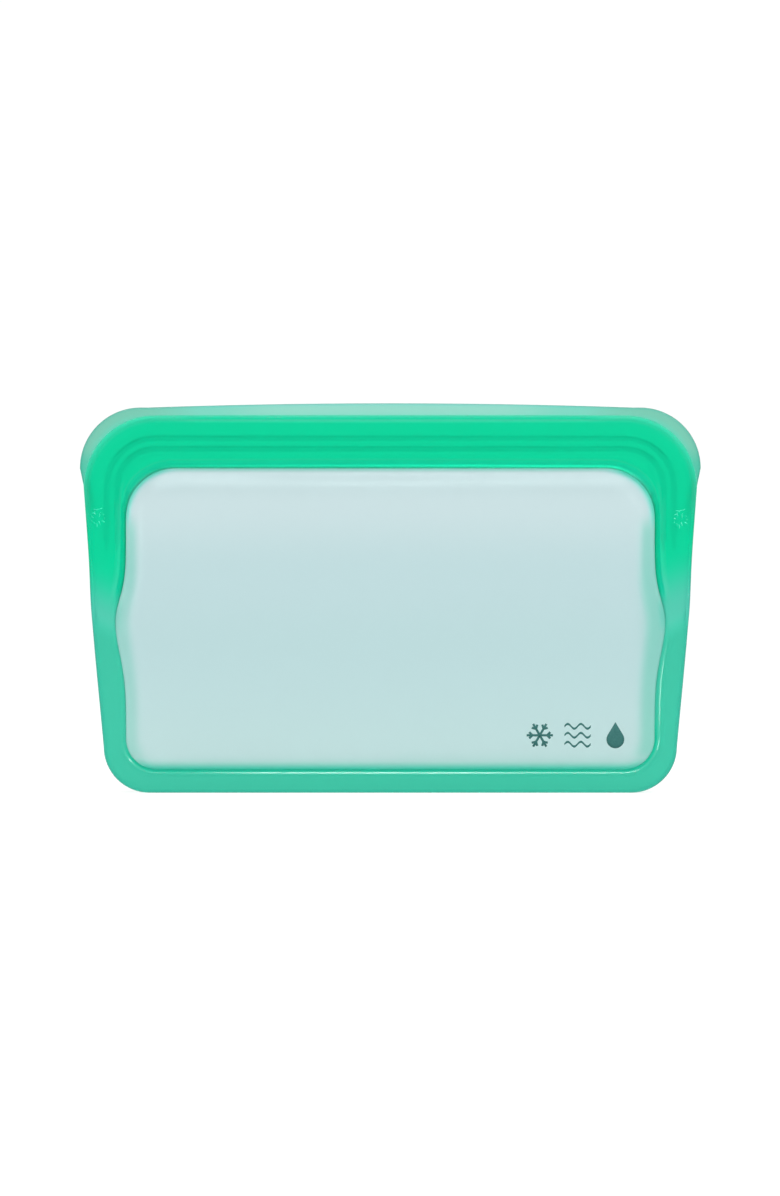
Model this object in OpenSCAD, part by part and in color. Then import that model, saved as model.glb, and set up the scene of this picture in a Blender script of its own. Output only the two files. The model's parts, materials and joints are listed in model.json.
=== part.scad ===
// Reusable silicone storage bag: a clear pouch in a green moulded frame, with a press-seal mouth.
// Millimetres. X is the width, Y the depth with the front at -Y, Z the height.
// The origin is the middle of the bottom edge, where the bag stands.

/* [Bag] */
// Widest part of the bag, across the ears of the rear lip
bag_width = 190; // [180:1:200]
// Height from the bottom edge to the middle of the rear lip
bag_height = 119; // [115:1:125]
// Total thickness of the frame where the front and rear halves are moulded together
frame_depth = 6; // [5:0.5:7]
// Total thickness of the pouch, over the flat faces of the two clear panels
pouch_depth = 13; // [11:0.5:16]

/* [Frame] */
// Width of the bottom seam
bottom_seam_width = 7.1; // [6:0.1:8]
// Width of the frame beside the clear window, measured from the ears
side_band_width = 14.3; // [13:0.1:15]
// Width of the frame along the top, on the front lip
top_band_width = 16; // [15:0.5:17]
// How far the rear lip stands above the front lip
rear_lip_rise = 3.9; // [3:0.1:6]
// Radius of the bottom corners
bottom_corner_r = 14; // [12:0.5:16]
// Radius of the front lip's top corners
front_corner_r = 22; // [21:0.5:24]
// Radius of the rear lip's top corners
rear_corner_r = 18.5; // [16:0.5:20]
// Height at which the mouth ends and the lips bend
mouth_end_z = 54; // [50:1:58]

/* [Panels] */
// Thickness of the clear sheets
sheet = 1.2; // [1:0.1:1.5]
// Radius of the clear window's bottom corners
window_bottom_r = 9.5; // [8:0.5:10]
// Radius of the clear window's top corners
window_top_r = 15; // [13:0.5:16]
// How much the window widens on each side at the end of the mouth
window_bulge = 3.2; // [2:0.1:4.5]

/* [Press seal] */
// Thickness of each lip
lip = 1.8; // [1.6:0.1:2]
// Distance from one sealing rib to the next
seal_pitch = 3.2; // [3:0.1:3.4]
// Width of a rail on the rear lip
rail_width = 1.2; // [1:0.1:1.4]
// Play on each side of a rib in its channel
seal_play = 0.25; // [0.2:0.05:0.3]
// Height at which the ribs and rails stop on the sides
seal_end_z = 74; // [72:1:78]

/* [Care marks] */
// Height and width of each printed mark
mark = 8; // [6:0.5:9]
// Line width of the marks
mark_line = 0.7; // [0.5:0.1:1]
// Distance from one mark to the next
mark_pitch = 11.5; // [10:0.5:12]
// Middle of the first mark, right of the bag's middle
mark_x = 45.4; // [30:0.2:48]
// Middle of the marks, above the bottom edge
mark_z = 17.7; // [16:0.1:30]

/* [Hidden] */

GREEN = [0.12, 0.78, 0.60];
DEEP_GREEN = [0.02, 0.68, 0.48];
CLEAR = [0.78, 0.90, 0.90];
INK = [0.20, 0.42, 0.40];

BIG = 400;                                   // larger than the bag, for cutting blocks
STEP = 7.5;                                  // degrees between the points of an arc
GAP = 0.05;                                  // each side of the line where the lips bend
front_top = bag_height - rear_lip_rise;
half_depth = frame_depth / 2;
half_pouch = pouch_depth / 2;

// Half widths of the bag, from the bottom up
half_width = bag_width / 2;
bottom_half = half_width - 7.6;              // where the bottom corners start
mouth_half = half_width - 3.9;               // at the end of the mouth
side_half = half_width - 3;                  // between the mouth's end and the lips' corners
side_z = mouth_end_z + 18;                   // height of that place
shoulder_half = half_width - 1.5;            // at the front lip's corners
shoulder_z = front_top - front_corner_r;
ear_half = half_width - rear_corner_r;       // middle of each ear's arc
ear_z = bag_height - rear_corner_r - 1.3;
ear_root_z = shoulder_z - 3;                 // where the ears leave the front lip's outline
lip_sag = 1.4;                               // how much the rear lip's top edge falls towards the ears
lip_steps = 6;                               // stretches in each half of that edge

window_side = half_width - side_band_width;  // half width of the clear window
window_top = front_top - top_band_width - 0.1;
window_step = 4;                             // height between the points of the window's sides
bulge_reach = 13;                            // how far above and below the mouth's end the bulge fades
seam_corner_z = 14.5;                        // where the bottom seam hands over to the side seams
corner_block = 4;                            // height of the mouth corners

tip_play = 0.3;                              // from a rib's or rail's tip to the other lip
rib_width = seal_pitch - rail_width - 2 * seal_play;
rib_depth = frame_depth - 2 * lip - tip_play;
upper_rib_in = 7;                            // from the front lip's outer edge to the upper rib
ink = 0.1;

// Points of an arc about centre c, from angle a to angle b
function arc(c, r, a, b) =
    let (n = max(1, round(abs(b - a) / STEP)))
    [for (i = [0 : n]) c + r * [cos(a + (b - a) * i / n), sin(a + (b - a) * i / n)]];

// A right half outline, from the bottom up, closed by its mirror image
function both_sides(right) =
    concat(right, [for (i = [len(right) - 1 : -1 : 0]) [-right[i][0], right[i][1]]]);

// Half width of the clear window: straight sides that swell where the mouth ends
function window_half(z) =
    window_side + window_bulge * exp(-pow((z - mouth_end_z) / bulge_reach, 2));

// Outline of the clear window, moved in by d
function window_outline(d) =
    let (
        low = [window_side - window_bottom_r, bottom_seam_width + window_bottom_r],
        high = [window_side - window_top_r, window_top - window_top_r],
        side = [for (z = [low[1] + window_step : window_step : high[1] - window_step])
            [window_half(z) - d, z]]
    )
    both_sides(concat(
        arc(low, window_bottom_r - d, -90, 0), side, arc(high, window_top_r - d, 0, 90)));

// Outer outline below the lips' corners
side_line = concat(
    arc([bottom_half - bottom_corner_r, bottom_corner_r], bottom_corner_r, -90, 0),
    [[mouth_half, mouth_end_z], [side_half, side_z]]);

front_outline = both_sides(concat(
    side_line,
    arc([shoulder_half - front_corner_r, shoulder_z], front_corner_r, 0, 90)));

// The rear lip flares out into an ear on each side, and its top edge rises towards the middle
rear_outline = both_sides(concat(
    side_line,
    [[shoulder_half, ear_root_z]],
    arc([ear_half, ear_z], rear_corner_r, 0, 90),
    [for (i = [1 : lip_steps]) let (t = 1 - i / lip_steps)
        [t * ear_half, bag_height - lip_sag * t * t]]));

// Sealing line at depth u inside the front lip's edge, as a half outline from the side up
function seal_half(u) = concat(
    [[shoulder_half - u, seal_end_z]],
    arc([shoulder_half - front_corner_r, shoulder_z], front_corner_r - u, 0, 90));

// Extrudes an X-Z drawing from depth y0 to depth y1
module slab(y0, y1)
    translate([0, y1, 0]) rotate([90, 0, 0]) linear_extrude(y1 - y0) children();

module above(z) translate([-BIG / 2, -BIG / 2, z]) cube(BIG);
module below(z) translate([-BIG / 2, -BIG / 2, z - BIG]) cube(BIG);
module between(z0, z1) translate([-BIG / 2, -BIG / 2, z0]) cube([BIG, BIG, z1 - z0]);
module right_of_middle() translate([0, -BIG / 2, -BIG / 2]) cube(BIG);

module window_2d() polygon(window_outline(0));

// Both halves of the frame moulded together, with the window open
module whole_frame()
    slab(-half_depth, half_depth) difference() {
        polygon(front_outline);
        window_2d();
    }

// Edge of a clear sheet, as [inset from the window's outline, depth], from the outer face round its
// rim to the inner face
pan = [
    [4.2, half_pouch], [2.2, half_pouch - 0.6], [0.9, half_pouch - 2.1], [0, half_depth],
    [0, half_depth - sheet], [1.2, half_depth - sheet],
    [1.2, half_depth], [1.9, half_pouch - 2.6], [3.1, half_pouch - 1.6], [4.6, half_pouch - sheet]];

module panel_sheet() {
    rings = [for (p = pan) [for (w = window_outline(p[0])) [w[0], -p[1], w[1]]]];
    n = len(rings[0]);
    last = len(pan) - 1;
    polyhedron(
        points = [for (r = rings, p = r) p],
        faces = concat(
            [[for (i = [n - 1 : -1 : 0]) i]],
            [for (k = [0 : last - 1], i = [0 : n - 1])
                let (j = (i + 1) % n) [k * n + i, k * n + j, (k + 1) * n + j, (k + 1) * n + i]],
            [[for (i = [0 : n - 1]) last * n + i]]));
}

module front_panel_lower()
    color(CLEAR) intersection() { panel_sheet(); below(mouth_end_z - GAP); }

module front_panel_upper()
    color(CLEAR) intersection() { panel_sheet(); above(mouth_end_z + GAP); }

module rear_panel_lower()
    color(CLEAR) mirror([0, 1, 0]) intersection() { panel_sheet(); below(mouth_end_z - GAP); }

module rear_panel_upper()
    color(CLEAR) mirror([0, 1, 0]) intersection() { panel_sheet(); above(mouth_end_z + GAP); }

module bottom_seam()
    color(GREEN) intersection() { whole_frame(); below(seam_corner_z); }

module right_side_seam()
    color(GREEN) intersection() {
        whole_frame();
        between(seam_corner_z, mouth_end_z - corner_block);
        right_of_middle();
    }

module left_side_seam() mirror([1, 0, 0]) right_side_seam();

// Solid web that closes the frame at each end of the mouth
module right_mouth_corner()
    color(GREEN) intersection() {
        whole_frame();
        between(mouth_end_z - corner_block, mouth_end_z - GAP);
        right_of_middle();
    }

module left_mouth_corner() mirror([1, 0, 0]) right_mouth_corner();

module lip_band(outline, y0, y1)
    intersection() {
        slab(y0, y1) difference() { polygon(outline); window_2d(); }
        above(mouth_end_z + GAP);
    }

module front_lip() color(DEEP_GREEN) lip_band(front_outline, -half_depth, lip - half_depth);
module rear_lip() color(DEEP_GREEN) lip_band(rear_outline, half_depth - lip, half_depth);

// A strip of width w along the sealing line at depth u, with round ends
module seal_strip(u, w, y0, y1)
    slab(y0, y1) union() {
        outer = seal_half(u - w / 2);
        inner = seal_half(u + w / 2);
        difference() { polygon(both_sides(outer)); polygon(both_sides(inner)); }
        for (side = [-1, 1]) translate([side * (shoulder_half - u), seal_end_z]) circle(d = w, $fn = 32);
    }

module seal_rib(u)
    color(GREEN) seal_strip(u, rib_width, lip - half_depth, lip - half_depth + rib_depth);

module seal_rail(u)
    color(GREEN) seal_strip(u, rail_width, half_depth - lip - rib_depth, half_depth - lip);

module upper_seal_rib() seal_rib(upper_rib_in);
module lower_seal_rib() seal_rib(upper_rib_in + seal_pitch);
module outer_seal_rail() seal_rail(upper_rib_in - seal_pitch / 2);
module middle_seal_rail() seal_rail(upper_rib_in + seal_pitch / 2);
module inner_seal_rail() seal_rail(upper_rib_in + 1.5 * seal_pitch);

// A stroke of the printed marks, from the origin along X
module stroke_2d(length)
    translate([0, -mark_line / 2]) square([length, mark_line]);

// Six arms, each with a pair of twigs
module snowflake_2d() {
    twig_at = 0.28;
    twig_length = 0.17;
    for (a = [0 : 60 : 300]) rotate(a) {
        stroke_2d(mark / 2);
        for (tilt = [-45, 45]) translate([mark * twig_at, 0]) rotate(tilt) stroke_2d(mark * twig_length);
    }
}

// Three lines, each two waves long
module waves_2d() {
    row_pitch = 0.34;
    swing = 0.09;
    steps = 16;
    function wave(i, side) = [
        (i / steps - 0.5) * mark,
        mark * swing * sin(i * 720 / steps) + side * mark_line / 2];
    for (row = [-1 : 1]) translate([0, row * mark * row_pitch])
        polygon(concat([for (i = [0 : steps]) wave(i, 1)], [for (i = [steps : -1 : 0]) wave(i, -1)]));
}

// A round bulb that runs up to a point
module drop_2d() {
    r = mark * 0.34;
    bulb = [0, r - mark / 2];
    polygon(concat(arc(bulb, r, 150, 390), [[0, mark / 2]]));
}

module care_marks()
    color(INK) slab(-half_pouch - ink, -half_pouch) translate([mark_x, mark_z]) {
        snowflake_2d();
        translate([mark_pitch, 0]) waves_2d();
        translate([2 * mark_pitch, 0]) drop_2d();
    }

front_panel_lower();
rear_panel_lower();
bottom_seam();
left_side_seam();
right_side_seam();
left_mouth_corner();
right_mouth_corner();
care_marks();
front_lip();
front_panel_upper();
upper_seal_rib();
lower_seal_rib();
rear_lip();
rear_panel_upper();
outer_seal_rail();
middle_seal_rail();
inner_seal_rail();
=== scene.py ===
"""Looks of the reusable silicone bag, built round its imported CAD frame. Metres, +Z up, front at -Y."""
import math

import bmesh
import bpy
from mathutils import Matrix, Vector, noise
from mathutils.bvhtree import BVHTree
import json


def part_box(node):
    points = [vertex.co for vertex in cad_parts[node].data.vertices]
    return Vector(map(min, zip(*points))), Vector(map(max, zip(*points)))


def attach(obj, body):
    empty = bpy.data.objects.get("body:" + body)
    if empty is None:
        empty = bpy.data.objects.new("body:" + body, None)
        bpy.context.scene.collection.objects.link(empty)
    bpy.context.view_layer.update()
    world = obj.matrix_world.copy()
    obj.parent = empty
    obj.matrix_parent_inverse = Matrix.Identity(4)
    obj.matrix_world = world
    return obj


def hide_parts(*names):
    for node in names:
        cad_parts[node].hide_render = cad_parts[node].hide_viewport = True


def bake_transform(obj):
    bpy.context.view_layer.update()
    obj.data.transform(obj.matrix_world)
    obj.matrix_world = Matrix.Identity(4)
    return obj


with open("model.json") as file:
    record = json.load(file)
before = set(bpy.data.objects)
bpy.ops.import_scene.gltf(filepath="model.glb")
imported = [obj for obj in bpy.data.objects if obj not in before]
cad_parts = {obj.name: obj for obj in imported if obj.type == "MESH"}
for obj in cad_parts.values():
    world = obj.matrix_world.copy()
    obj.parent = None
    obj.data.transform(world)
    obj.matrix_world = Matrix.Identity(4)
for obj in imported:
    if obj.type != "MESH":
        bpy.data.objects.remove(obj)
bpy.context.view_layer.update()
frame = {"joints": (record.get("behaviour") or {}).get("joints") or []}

MM = 0.001
SAME_POINT = 1e-7            # points closer than this are merged
NO_LENGTH = 1e-8             # edges shorter than this are removed
RAY_START = -0.05            # depth in front of the bag, from which rays are cast onto it

# ---------------------------------------------------------------- sizes taken from the frame
LIP_LOW, LIP_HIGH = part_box("front_lip")
REAR_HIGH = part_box("rear_lip")[1]
SEAM_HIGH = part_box("bottom_seam")[1]
HINGES = {joint["name"]: joint for joint in frame["joints"]}

HALF_DEPTH = SEAM_HIGH.y
LIP = LIP_HIGH.y - LIP_LOW.y
HALF_WIDTH = REAR_HIGH.x
HEIGHT = REAR_HIGH.z
FRONT_TOP = LIP_HIGH.z
SHOULDER_HALF = LIP_HIGH.x
BOTTOM_HALF = SEAM_HIGH.x
MOUTH_Z = HINGES["front_lip_opens"]["pos_m"][2]
WINDOW_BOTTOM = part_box("front_panel_lower")[0].z
WINDOW_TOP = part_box("front_panel_upper")[1].z

# ---------------------------------------------------------------- shape of the outlines
BOTTOM_R = 14 * MM
FRONT_R = 22 * MM
EAR_R = 18.5 * MM
EAR_Z = HEIGHT - EAR_R - 1.3 * MM
LIP_SAG = 1.4 * MM
MOUTH_HALF = HALF_WIDTH - 3.9 * MM
SIDE_HALF = HALF_WIDTH - 3 * MM
SIDE_Z = MOUTH_Z + 18 * MM
EAR_ROOT_Z = FRONT_TOP - FRONT_R - 2 * MM
WINDOW_SIDE = HALF_WIDTH - 14.35 * MM
WINDOW_BOTTOM_R = 9.5 * MM
WINDOW_TOP_R = 15 * MM
BULGE = 3.2 * MM
BULGE_Z = MOUTH_Z - 2 * MM
BULGE_BELOW = 13.5 * MM
BULGE_ABOVE = 10 * MM

# stretches in each part of a half outline, from the bottom's middle to the top's middle
STEPS = {"bottom": 24, "bottom_corner": 16, "side": 72, "top_corner": 26, "top": 32}


def smooth(low, high, value):
    """0 below low, 1 above high, with soft ends."""
    t = min(1.0, max(0.0, (value - low) / (high - low)))
    return t * t * (3 - 2 * t)


def fade(low, high, value):
    """1 below low, 0 above high, with soft ends."""
    return 1 - smooth(low, high, value)


def between(first, last, t):
    return first + (last - first) * t


def bump(value, middle, spread):
    """1 at the middle, fading to nothing on both sides."""
    return math.exp(-(((value - middle) / spread) ** 2))


def arc(x, z, r, start, end, steps):
    turn = [math.radians(between(start, end, i / steps)) for i in range(steps + 1)]
    return [(x + r * math.cos(a), z + r * math.sin(a)) for a in turn]


def line(start, end, steps):
    """Points from start towards end, without the end itself."""
    stretches = [i / steps for i in range(steps)]
    return [(between(start[0], end[0], t), between(start[1], end[1], t)) for t in stretches]


def spline(points, steps):
    """A smooth curve through the points, evenly divided by height."""
    made = []
    low, high = points[0][1], points[-1][1]
    for i in range(steps + 1):
        z = between(low, high, i / steps)
        k = max(j for j in range(len(points) - 1) if points[j][1] <= z + SAME_POINT)
        (xa, za), (xb, zb) = points[k], points[k + 1]
        before, after = points[max(k - 1, 0)], points[min(k + 2, len(points) - 1)]
        slope_a = (xb - before[0]) / (zb - before[1])
        slope_b = (after[0] - xa) / (after[1] - za)
        t, d = (z - za) / (zb - za), zb - za
        x = ((2 * t**3 - 3 * t**2 + 1) * xa + (t**3 - 2 * t**2 + t) * d * slope_a
             + (3 * t**2 - 2 * t**3) * xb + (t**3 - t**2) * d * slope_b)
        made.append((x, z))
    return made


def window_half(z):
    reach = BULGE_ABOVE if z > BULGE_Z else BULGE_BELOW
    return WINDOW_SIDE + BULGE * bump(z, BULGE_Z, reach)


def half_bottom(side, z, r):
    """The right half of a bottom edge at height z, with its rounded corner."""
    low = (side - r, z + r)
    return line((0, z), (low[0], z), STEPS["bottom"]) + arc(*low, r, -90, 0, STEPS["bottom_corner"])


def half_top(side, z, r):
    """The right half of a top edge at height z, after its rounded corner."""
    high = (side - r, z - r)
    edge = line((high[0], z), (0, z), STEPS["top"])
    return arc(*high, r, 0, 90, STEPS["top_corner"]) + edge[1:] + [(0, z)]


def half_window():
    low_z, high_z = WINDOW_BOTTOM + WINDOW_BOTTOM_R, WINDOW_TOP - WINDOW_TOP_R
    side = [between(low_z, high_z, i / STEPS["side"]) for i in range(1, STEPS["side"])]
    return (half_bottom(WINDOW_SIDE, WINDOW_BOTTOM, WINDOW_BOTTOM_R)
            + [(window_half(z), z) for z in side]
            + half_top(WINDOW_SIDE, WINDOW_TOP, WINDOW_TOP_R))


def half_side(*upper):
    """A frame's side from its bottom corner up past the mouth's end and through the upper points."""
    points = [(BOTTOM_HALF, BOTTOM_R), (MOUTH_HALF, MOUTH_Z), (SIDE_HALF, SIDE_Z), *upper]
    return spline(points, STEPS["side"])[1:-1]


def half_front():
    return (half_bottom(BOTTOM_HALF, 0, BOTTOM_R)
            + half_side((SHOULDER_HALF, FRONT_TOP - FRONT_R))
            + half_top(SHOULDER_HALF, FRONT_TOP, FRONT_R))


def half_rear():
    ear_x = HALF_WIDTH - EAR_R
    top = [(ear_x * t, HEIGHT - LIP_SAG * t * t)
           for t in [1 - i / STEPS["top"] for i in range(1, STEPS["top"] + 1)]]
    return (half_bottom(BOTTOM_HALF, 0, BOTTOM_R)
            + half_side((SHOULDER_HALF, EAR_ROOT_Z), (HALF_WIDTH, EAR_Z))
            + arc(ear_x, EAR_Z, EAR_R, 0, 90, STEPS["top_corner"])
            + top)


def both_halves(half):
    """A closed outline from its right half, anticlockwise from the bottom's middle."""
    return half + [(-x, z) for x, z in reversed(half[1:-1])]


WINDOW = both_halves(half_window())
FRONT_EDGE = both_halves(half_front())
REAR_EDGE = both_halves(half_rear())
STATIONS = len(WINDOW)


# ---------------------------------------------------------------- mesh helpers
def make_piece(name, vertices, faces, values, material):
    """A mesh object. values holds numbers per vertex, by name, that the materials read."""
    mesh = bpy.data.meshes.new(name)
    mesh.from_pydata(vertices, [], faces)
    for key, numbers in values.items():
        mesh.attributes.new(key, "FLOAT", "POINT").data.foreach_set("value", numbers)
    bm = bmesh.new()
    bm.from_mesh(mesh)
    bmesh.ops.remove_doubles(bm, verts=bm.verts, dist=SAME_POINT)
    bmesh.ops.dissolve_degenerate(bm, edges=bm.edges, dist=NO_LENGTH)
    bmesh.ops.recalc_face_normals(bm, faces=bm.faces)
    bm.to_mesh(mesh)
    bm.free()
    mesh.shade_smooth()
    mesh.materials.append(material)
    piece = bpy.data.objects.new(name, mesh)
    bpy.context.collection.objects.link(piece)
    return piece


def ring_faces(rings, points, closed_rings):
    """Quads between neighbouring rings of points. With closed_rings the last ring joins the first."""
    faces = []
    for k in range(rings if closed_rings else rings - 1):
        a, b = k * points, (k + 1) % rings * points
        faces += [(a + i, a + (i + 1) % points, b + (i + 1) % points, b + i) for i in range(points)]
    return faces


# ---------------------------------------------------------------- green frame, front and rear halves
# Unless a comment says otherwise, two numbers in brackets are a start and an end for smooth() or fade(),
# or a middle and a spread for bump(), a third number before them is the strength, and heights are those
# of the window's outline.
PARTING = 0.02 * MM          # from the middle plane to each half's inner face, below the mouth
WEB_Z = MOUTH_Z - 4 * MM     # the halves are joined up to here
FREE_Z = MOUTH_Z + 3 * MM    # and the lips have their full gap from here
TOP_BAND = (WINDOW_TOP - WINDOW_TOP_R, WINDOW_TOP - 5 * MM)
STRAIGHT_TOP = (WINDOW_TOP - 3 * MM, WINDOW_TOP - 0.5 * MM)

SHOULDER_SIDE = 1.5 * MM     # from the window's edge to the moulded shoulder line
SHOULDER_TOP = 3.3 * MM
SHOULDER_GROWS = 0.25 * MM   # how much further out it is low on the sides
GROWS_OVER = (0, 30 * MM)    # from the mouth's end downwards
SHOULDER_SHRINKS = 0.45 * MM  # and how much closer it is along the bottom
SHRINKS_BELOW = (10 * MM, 17 * MM)
BOW_HALF = 36 * MM           # half width of the stretch where the top shoulder lines part
REAR_BOW = 0.6 * MM          # how far they part

GLINT = (0.62, 0.9)          # where the shoulder's polished facet starts and ends, in shoulder distances
GLINT_MIDDLE = 0.76
GLINT_SLOPE = 0.54
GLINT_LEFT = 0.25            # part of that slope on the left side, and along the top
GLINT_TOP = 0.15
GLINT_ENDS = (MOUTH_Z - 12 * MM, MOUTH_Z - 2 * MM)
GLINT_BOTTOM = (12 * MM, 17 * MM)
GLINT_SINKS = 1.3 * MM       # length over which the face is level again after the facet

FOOT = (2.4, 2.65)           # depth at the window's edge, low on the bag and at the lips, mm
EDGE_R = (1.3, 0.8)          # radius of the outer edge, at the seams and at the lips, mm
BACK_R = (0.12, 0.62)        # radius of the edge towards the other half, mm
BEAD = (0.22 * MM, 1.3 * MM, 0.5 * MM)   # the lips' raised bead, from the outer edge
OVERHANG = 0.12 * MM         # how far the frame's thin lip covers the panel's edge
OVERHANG_THICK = 0.13 * MM
UNDERSIDE = 0.2 * MM         # from the foot down to where the panel is bonded
UNDERSIDE_IN = 0.1 * MM

# columns of points across the outer face: in shoulder distances near the window, in mm near the edge
NEAR = (0, 0.12, 0.26, 0.38, 0.5, 0.62, 0.65, 0.76, 0.87, 0.9, 1.0, 1.15, 1.35, 1.7)
FAR = (2.6, 2.1, 1.75, 1.5, 1.3, 1.1, 0.85, 0.6, 0.42, 0.28, 0.17, 0.08, 0.03, 0)
FACE_STEPS = 6
WALL_STEPS = 3
BACK_STEPS = 6


def near_top(z):
    """0 beside the window, 1 along the top band, from the height on the window's outline."""
    return smooth(*TOP_BAND, z)


def frame_section(width, crest_at, z_inner, z_outer, right):
    """Closed cross-section of one half, as (distance from the window, depth outwards from the middle plane).

    The third value is 1 on the outer face and 0 elsewhere.
    """
    free = smooth(WEB_Z, FREE_Z, z_outer)
    top = near_top(z_inner)
    inner = PARTING + free * (HALF_DEPTH - LIP - PARTING)
    mouth = smooth(*GLINT_ENDS, z_inner)
    bottom = fade(*GLINT_BOTTOM, z_inner)
    slope = GLINT_SLOPE * ((1 - mouth) * max(bottom, 1 if right else GLINT_LEFT) + GLINT_TOP * top)
    foot = between(*FOOT, max(mouth, top)) * MM
    edge_r = between(*EDGE_R, free) * MM
    back_r = between(*BACK_R, free) * MM
    glint_low, glint_high = GLINT[0] * crest_at, GLINT[1] * crest_at
    bead, bead_in, bead_spread = BEAD

    def face(d):
        """Depth of the outer face at distance d from the window."""
        level = HALF_DEPTH
        level -= (HALF_DEPTH - foot) * fade(0, glint_low, d)
        climb = min(max(d - glint_low, 0.0), glint_high - glint_low)
        level += slope * climb * fade(glint_high, glint_high + GLINT_SINKS, d)
        from_edge = width - d
        level += bead * free * bump(from_edge, bead_in, bead_spread)
        if from_edge < edge_r:
            level -= edge_r - math.sqrt(max(0.0, edge_r**2 - (edge_r - from_edge) ** 2))
        return level

    start, stop = NEAR[-1] * crest_at, width - FAR[0] * MM
    columns = [d * crest_at for d in NEAR]
    columns += [between(start, stop, i / FACE_STEPS) for i in range(1, FACE_STEPS)]
    columns += [width - d * MM for d in FAR]
    outside = [(d, face(d), 1) for d in columns]
    wall_low, wall_high = inner + back_r, outside[-1][1]
    edge = [(width, between(wall_high, wall_low, i / WALL_STEPS), 0) for i in range(1, WALL_STEPS)]
    bend = [(width - back_r * (1 - math.cos(a)), inner + back_r * (1 - math.sin(a)), 0)
            for a in map(math.radians, (0, 30, 60, 90))]
    back = [(between(width - back_r, UNDERSIDE_IN, i / BACK_STEPS), inner, 0)
            for i in range(1, BACK_STEPS + 1)]
    under = [(0, foot - UNDERSIDE, 0), (-OVERHANG, foot - OVERHANG_THICK, 0), (-OVERHANG, foot, 1)]
    return outside + edge + bend + back + under


# Shades of the frame, painted shade lines and painted highlights among them. SIDE_CORNER, LINE_LOW and
# GLEAM_SIDES are for the left and then for the right side.
LIPS_GREEN = (MOUTH_Z - 2 * MM, MOUTH_Z + 25 * MM)   # heights of the shaded point itself
GREEN_SHIFT = 4 * MM         # how much lower the lips' green starts on the left
GREEN_SLANT = 4 * MM         # and how much higher at the outer edge than beside the window
SIDE_MOUTH = (MOUTH_Z + 1 * MM, MOUTH_Z + 9 * MM)
SIDE_BOTTOM = (11 * MM, 18 * MM)
SIDE_CORNER = ((9 * MM, 18 * MM), (16 * MM, 28 * MM))
MOUTH_STRIP = (1.1 * MM, 2.6 * MM)
CORNER_STRIP = (0.5 * MM, 1.2 * MM)
CORNER_STRIP_GREEN = 0.7

# painted shade lines: beside the window, where the frame slopes down to it, and along the top band
LINE_CORNER = 0.85           # strength of the dark line beside the window, in the lower corners
LINE_LOW = (0.25, 0.35)      # and on the sides below the mouth
LINE_WIDTH = (0.4 * MM, 1.55 * MM)   # its width below the mouth and beside it
LINE_FADE = 0.5 * MM
SLOPE_LINE = (0.45, 0.5, 0.35)       # along the top, at parts of the shoulder distance
TOP_LINE = (0.5, 1.3 * MM, 0.55 * MM)
TOP_EDGE_LINE = (0.3, 0.5 * MM, 0.4 * MM)
LINE_DARK = 0.5
FREE_RIM = (WINDOW_TOP - 20 * MM, WINDOW_TOP - 4 * MM)   # heights on the outer edge
# painted shade that darkens the frame's outer edge
OUTLINE_NARROW = (0.5, 0.1 * MM, 0.45 * MM)
OUTLINE_WIDE = (0.4, 0.3 * MM, 1.3 * MM)

# painted highlights: beside the shoulder line and along the top
SIDE_LIGHT = (0.4, 0.8 * MM, 0.4 * MM)   # from the shoulder line
TOP_LIGHT = (0.1, 0.8, 0.3 * MM)         # at a part of the shoulder distance
# the polished facet's line: POLISH_LIGHT paints a highlight into its colour, POLISH_GLOSS raises its coat
POLISH_SPREAD = 0.25 * MM
POLISH_LIGHT = 0.15
POLISH_GLOSS = 0.85
POLISH_RIGHT = (WINDOW_BOTTOM + 25 * MM, MOUTH_Z)        # heights of the shaded point
GLEAM_RISES = (-62 * MM, -30 * MM)       # along the bottom, from left to right
GLEAM_FALLS = (25 * MM, 45 * MM)
GLEAM_DROP = 0.45
GLEAM_SIDES = ((-78 * MM, -75 * MM), (78 * MM, 80 * MM))

SOFT_EDGE = (0.5, -0.2 * MM, 0.7 * MM)
SOFT_CORNER = (0.4, 0, 1.0 * MM)
SOFT_RIM = 0.6
SOFT_RIM_START = 0.1 * MM
SOFT_RIM_END = (2.5 * MM, 1.1 * MM)      # near the ends and along the sheen
SHEEN = (0.9 * 64 * MM, 1.1 * 64 * MM)   # from the middle: how far the front lip's rim catches the light
# along the front lip's rim: a painted highlight, and a painted shade line nearer the edge
RIM_LIGHT = (0.45, 1.65 * MM, 0.35 * MM)
RIM_LINE = (0.35, 0.8 * MM, 0.35 * MM)
PALE_RIM = (3.2 * MM, 5 * MM)
ASIDE = (0.25, 0.9)          # in half widths
ASIDE_HIGH = 0.8             # how much of it is left near the ear's top
ASIDE_DROPS = (98 * MM, 108 * MM)    # heights of the shaded point


def stripe(value, strength, middle, spread):
    return strength * bump(value, middle, spread)


def edging(value, strength, start, end):
    return strength * fade(start, end, value)


def polish_gleam(x):
    """How much of the polished facet shines at x, in its gloss and its painted highlight: less towards the
    left and the right of the bottom.
    """
    left, right = GLEAM_SIDES
    along_bottom = smooth(*GLEAM_RISES, x) * (1 - GLEAM_DROP * smooth(*GLEAM_FALLS, x))
    return max(along_bottom, fade(*left, x), smooth(*right, x))


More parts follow.
